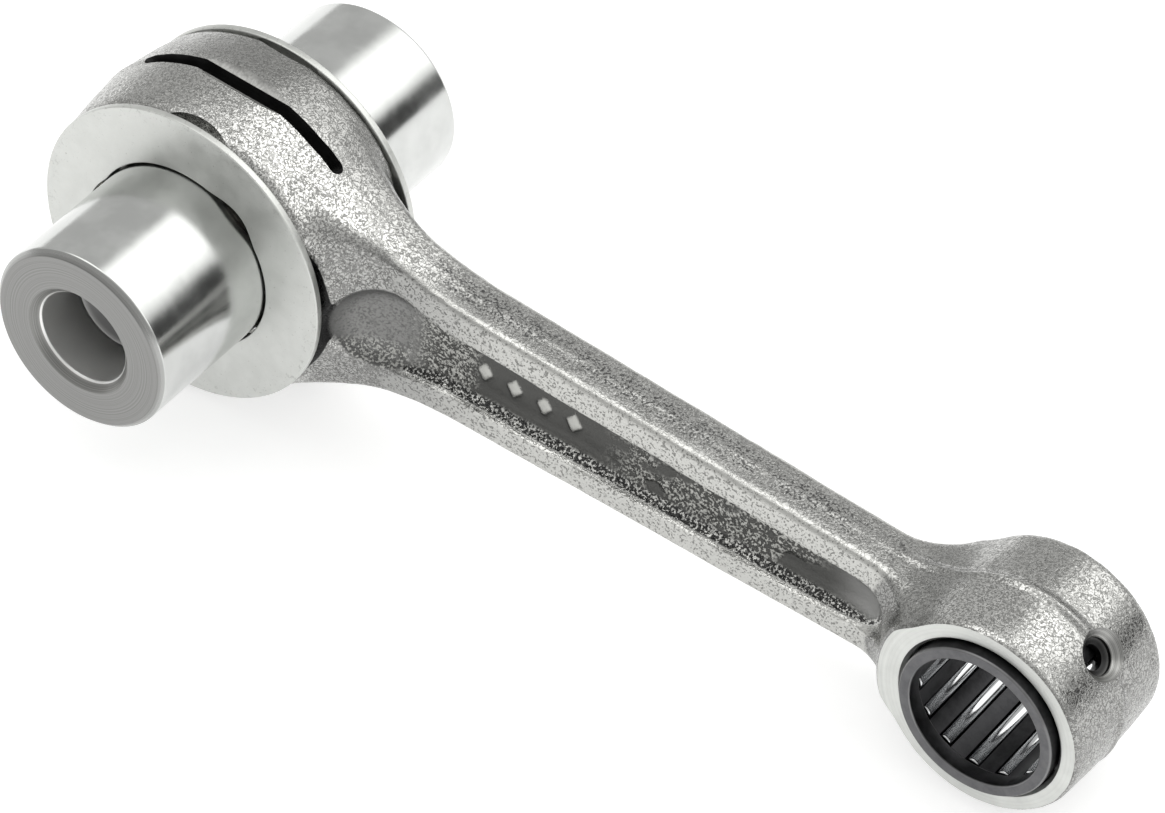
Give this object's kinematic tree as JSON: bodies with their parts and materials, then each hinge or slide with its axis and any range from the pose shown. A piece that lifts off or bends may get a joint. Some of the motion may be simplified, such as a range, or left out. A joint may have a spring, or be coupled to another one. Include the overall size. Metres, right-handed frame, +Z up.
{
  "type": "connecting rod",
  "caption": "Forged I-beam connecting rod with a hollow crank pin in a roller big end, two thrust washers and a caged needle small end.",
  "frame": {"origin": "centre of the big end, on the crank pin's axis at mid-width", "axes": "+X along the rod to the small end, +Y along the crank pin, +Z up with the rod on its edge"},
  "size_m": [0.1564, 0.062, 0.045],
  "materials": {
    "forged_steel": "satin",
    "ground_steel": "polished",
    "plated_cage": "satin",
    "washer_steel": "satin",
    "oxide_cage": "satin",
    "bearing_steel": "polished"
  },
  "bodies": {
    "rod": {"connecting_rod": "forged_steel"},
    "crank_pin": {"crank_pin": "ground_steel"},
    "big_cage": {"big_end_cage": "plated_cage"},
    "front_washer": {"thrust_washer_front": "washer_steel"},
    "rear_washer": {"thrust_washer_rear": "washer_steel"},
    "small_cage": {"small_end_cage": "oxide_cage"},
    "big_roller_01": {"big_end_roller_01": "bearing_steel"},
    "big_roller_02": {"big_end_roller_02": "bearing_steel"},
    "big_roller_03": {"big_end_roller_03": "bearing_steel"},
    "big_roller_04": {"big_end_roller_04": "bearing_steel"},
    "big_roller_05": {"big_end_roller_05": "bearing_steel"},
    "big_roller_06": {"big_end_roller_06": "bearing_steel"},
    "big_roller_07": {"big_end_roller_07": "bearing_steel"},
    "big_roller_08": {"big_end_roller_08": "bearing_steel"},
    "big_roller_09": {"big_end_roller_09": "bearing_steel"},
    "big_roller_10": {"big_end_roller_10": "bearing_steel"},
    "big_roller_11": {"big_end_roller_11": "bearing_steel"},
    "big_roller_12": {"big_end_roller_12": "bearing_steel"},
    "big_roller_13": {"big_end_roller_13": "bearing_steel"},
    "big_roller_14": {"big_end_roller_14": "bearing_steel"},
    "big_roller_15": {"big_end_roller_15": "bearing_steel"},
    "big_roller_16": {"big_end_roller_16": "bearing_steel"},
    "needle_01": {"small_end_needle_01": "bearing_steel"},
    "needle_02": {"small_end_needle_02": "bearing_steel"},
    "needle_03": {"small_end_needle_03": "bearing_steel"},
    "needle_04": {"small_end_needle_04": "bearing_steel"},
    "needle_05": {"small_end_needle_05": "bearing_steel"},
    "needle_06": {"small_end_needle_06": "bearing_steel"},
    "needle_07": {"small_end_needle_07": "bearing_steel"},
    "needle_08": {"small_end_needle_08": "bearing_steel"},
    "needle_09": {"small_end_needle_09": "bearing_steel"},
    "needle_10": {"small_end_needle_10": "bearing_steel"},
    "needle_11": {"small_end_needle_11": "bearing_steel"},
    "needle_12": {"small_end_needle_12": "bearing_steel"},
    "needle_13": {"small_end_needle_13": "bearing_steel"},
    "needle_14": {"small_end_needle_14": "bearing_steel"}
  },
  "joints": [
    {"name": "crank_pin_spin", "type": "hinge", "parent": "rod", "child": "crank_pin", "pos_m": [0, 0, 0], "axis": [0, 1, 0], "continuous": true},
    {"name": "big_cage_spin", "type": "hinge", "parent": "rod", "child": "big_cage", "pos_m": [0, 0, 0], "axis": [0, 1, 0], "continuous": true},
    {"name": "front_washer_spin", "type": "hinge", "parent": "rod", "child": "front_washer", "pos_m": [0, 0, 0], "axis": [0, 1, 0], "continuous": true},
    {"name": "rear_washer_spin", "type": "hinge", "parent": "rod", "child": "rear_washer", "pos_m": [0, 0, 0], "axis": [0, 1, 0], "continuous": true},
    {"name": "small_cage_spin", "type": "hinge", "parent": "rod", "child": "small_cage", "pos_m": [0.1195, 0, 0], "axis": [0, 1, 0], "continuous": true},
    {"name": "big_roller_01_spin", "type": "hinge", "parent": "big_cage", "child": "big_roller_01", "pos_m": [0.01502, 0, 0], "axis": [0, 1, 0], "continuous": true},
    {"name": "big_roller_02_spin", "type": "hinge", "parent": "big_cage", "child": "big_roller_02", "pos_m": [0.01387, 0, 0.00575], "axis": [0, 1, 0], "continuous": true},
    {"name": "big_roller_03_spin", "type": "hinge", "parent": "big_cage", "child": "big_roller_03", "pos_m": [0.01062, 0, 0.01062], "axis": [0, 1, 0], "continuous": true},
    {"name": "big_roller_04_spin", "type": "hinge", "parent": "big_cage", "child": "big_roller_04", "pos_m": [0.00575, 0, 0.01387], "axis": [0, 1, 0], "continuous": true},
    {"name": "big_roller_05_spin", "type": "hinge", "parent": "big_cage", "child": "big_roller_05", "pos_m": [0, 0, 0.01502], "axis": [0, 1, 0], "continuous": true},
    {"name": "big_roller_06_spin", "type": "hinge", "parent": "big_cage", "child": "big_roller_06", "pos_m": [-0.00575, 0, 0.01387], "axis": [0, 1, 0], "continuous": true},
    {"name": "big_roller_07_spin", "type": "hinge", "parent": "big_cage", "child": "big_roller_07", "pos_m": [-0.01062, 0, 0.01062], "axis": [0, 1, 0], "continuous": true},
    {"name": "big_roller_08_spin", "type": "hinge", "parent": "big_cage", "child": "big_roller_08", "pos_m": [-0.01387, 0, 0.00575], "axis": [0, 1, 0], "continuous": true},
    {"name": "big_roller_09_spin", "type": "hinge", "parent": "big_cage", "child": "big_roller_09", "pos_m": [-0.01502, 0, 0], "axis": [0, 1, 0], "continuous": true},
    {"name": "big_roller_10_spin", "type": "hinge", "parent": "big_cage", "child": "big_roller_10", "pos_m": [-0.01387, 0, -0.00575], "axis": [0, 1, 0], "continuous": true},
    {"name": "big_roller_11_spin", "type": "hinge", "parent": "big_cage", "child": "big_roller_11", "pos_m": [-0.01062, 0, -0.01062], "axis": [0, 1, 0], "continuous": true},
    {"name": "big_roller_12_spin", "type": "hinge", "parent": "big_cage", "child": "big_roller_12", "pos_m": [-0.00575, 0, -0.01387], "axis": [0, 1, 0], "continuous": true},
    {"name": "big_roller_13_spin", "type": "hinge", "parent": "big_cage", "child": "big_roller_13", "pos_m": [0, 0, -0.01502], "axis": [0, 1, 0], "continuous": true},
    {"name": "big_roller_14_spin", "type": "hinge", "parent": "big_cage", "child": "big_roller_14", "pos_m": [0.00575, 0, -0.01387], "axis": [0, 1, 0], "continuous": true},
    {"name": "big_roller_15_spin", "type": "hinge", "parent": "big_cage", "child": "big_roller_15", "pos_m": [0.01062, 0, -0.01062], "axis": [0, 1, 0], "continuous": true},
    {"name": "big_roller_16_spin", "type": "hinge", "parent": "big_cage", "child": "big_roller_16", "pos_m": [0.01387, 0, -0.00575], "axis": [0, 1, 0], "continuous": true},
    {"name": "needle_01_spin", "type": "hinge", "parent": "small_cage", "child": "needle_01", "pos_m": [0.12931, 0, 0.00203], "axis": [0, 1, 0], "continuous": true},
    {"name": "needle_02_spin", "type": "hinge", "parent": "small_cage", "child": "needle_02", "pos_m": [0.12745, 0, 0.00608], "axis": [0, 1, 0], "continuous": true},
    {"name": "needle_03_spin", "type": "hinge", "parent": "small_cage", "child": "needle_03", "pos_m": [0.12403, 0, 0.00893], "axis": [0, 1, 0], "continuous": true},
    {"name": "needle_04_spin", "type": "hinge", "parent": "small_cage", "child": "needle_04", "pos_m": [0.1197, 0, 0.01001], "axis": [0, 1, 0], "continuous": true},
    {"name": "needle_05_spin", "type": "hinge", "parent": "small_cage", "child": "needle_05", "pos_m": [0.11534, 0, 0.00911], "axis": [0, 1, 0], "continuous": true},
    {"name": "needle_06_spin", "type": "hinge", "parent": "small_cage", "child": "needle_06", "pos_m": [0.1118, 0, 0.0064], "axis": [0, 1, 0], "continuous": true},
    {"name": "needle_07_spin", "type": "hinge", "parent": "small_cage", "child": "needle_07", "pos_m": [0.10978, 0, 0.00243], "axis": [0, 1, 0], "continuous": true},
    {"name": "needle_08_spin", "type": "hinge", "parent": "small_cage", "child": "needle_08", "pos_m": [0.10969, 0, -0.00203], "axis": [0, 1, 0], "continuous": true},
    {"name": "needle_09_spin", "type": "hinge", "parent": "small_cage", "child": "needle_09", "pos_m": [0.11155, 0, -0.00608], "axis": [0, 1, 0], "continuous": true},
    {"name": "needle_10_spin", "type": "hinge", "parent": "small_cage", "child": "needle_10", "pos_m": [0.11497, 0, -0.00893], "axis": [0, 1, 0], "continuous": true},
    {"name": "needle_11_spin", "type": "hinge", "parent": "small_cage", "child": "needle_11", "pos_m": [0.1193, 0, -0.01001], "axis": [0, 1, 0], "continuous": true},
    {"name": "needle_12_spin", "type": "hinge", "parent": "small_cage", "child": "needle_12", "pos_m": [0.12366, 0, -0.00911], "axis": [0, 1, 0], "continuous": true},
    {"name": "needle_13_spin", "type": "hinge", "parent": "small_cage", "child": "needle_13", "pos_m": [0.1272, 0, -0.0064], "axis": [0, 1, 0], "continuous": true},
    {"name": "needle_14_spin", "type": "hinge", "parent": "small_cage", "child": "needle_14", "pos_m": [0.12922, 0, -0.00243], "axis": [0, 1, 0], "continuous": true}
  ],
  "couplings": [
    {"joint": "big_cage_spin", "follows": "crank_pin_spin", "ratio": 0.4329},
    {"joint": "big_roller_01_spin", "follows": "crank_pin_spin", "ratio": -3.6861},
    {"joint": "big_roller_02_spin", "follows": "crank_pin_spin", "ratio": -3.6861},
    {"joint": "big_roller_03_spin", "follows": "crank_pin_spin", "ratio": -3.6861},
    {"joint": "big_roller_04_spin", "follows": "crank_pin_spin", "ratio": -3.6861},
    {"joint": "big_roller_05_spin", "follows": "crank_pin_spin", "ratio": -3.6861},
    {"joint": "big_roller_06_spin", "follows": "crank_pin_spin", "ratio": -3.6861},
    {"joint": "big_roller_07_spin", "follows": "crank_pin_spin", "ratio": -3.6861},
    {"joint": "big_roller_08_spin", "follows": "crank_pin_spin", "ratio": -3.6861},
    {"joint": "big_roller_09_spin", "follows": "crank_pin_spin", "ratio": -3.6861},
    {"joint": "big_roller_10_spin", "follows": "crank_pin_spin", "ratio": -3.6861},
    {"joint": "big_roller_11_spin", "follows": "crank_pin_spin", "ratio": -3.6861},
    {"joint": "big_roller_12_spin", "follows": "crank_pin_spin", "ratio": -3.6861},
    {"joint": "big_roller_13_spin", "follows": "crank_pin_spin", "ratio": -3.6861},
    {"joint": "big_roller_14_spin", "follows": "crank_pin_spin", "ratio": -3.6861},
    {"joint": "big_roller_15_spin", "follows": "crank_pin_spin", "ratio": -3.6861},
    {"joint": "big_roller_16_spin", "follows": "crank_pin_spin", "ratio": -3.6861},
    {"joint": "needle_01_spin", "follows": "small_cage_spin", "ratio": -11.03},
    {"joint": "needle_02_spin", "follows": "small_cage_spin", "ratio": -11.03},
    {"joint": "needle_03_spin", "follows": "small_cage_spin", "ratio": -11.03},
    {"joint": "needle_04_spin", "follows": "small_cage_spin", "ratio": -11.03},
    {"joint": "needle_05_spin", "follows": "small_cage_spin", "ratio": -11.03},
    {"joint": "needle_06_spin", "follows": "small_cage_spin", "ratio": -11.03},
    {"joint": "needle_07_spin", "follows": "small_cage_spin", "ratio": -11.03},
    {"joint": "needle_08_spin", "follows": "small_cage_spin", "ratio": -11.03},
    {"joint": "needle_09_spin", "follows": "small_cage_spin", "ratio": -11.03},
    {"joint": "needle_10_spin", "follows": "small_cage_spin", "ratio": -11.03},
    {"joint": "needle_11_spin", "follows": "small_cage_spin", "ratio": -11.03},
    {"joint": "needle_12_spin", "follows": "small_cage_spin", "ratio": -11.03},
    {"joint": "needle_13_spin", "follows": "small_cage_spin", "ratio": -11.03},
    {"joint": "needle_14_spin", "follows": "small_cage_spin", "ratio": -11.03}
  ]
}
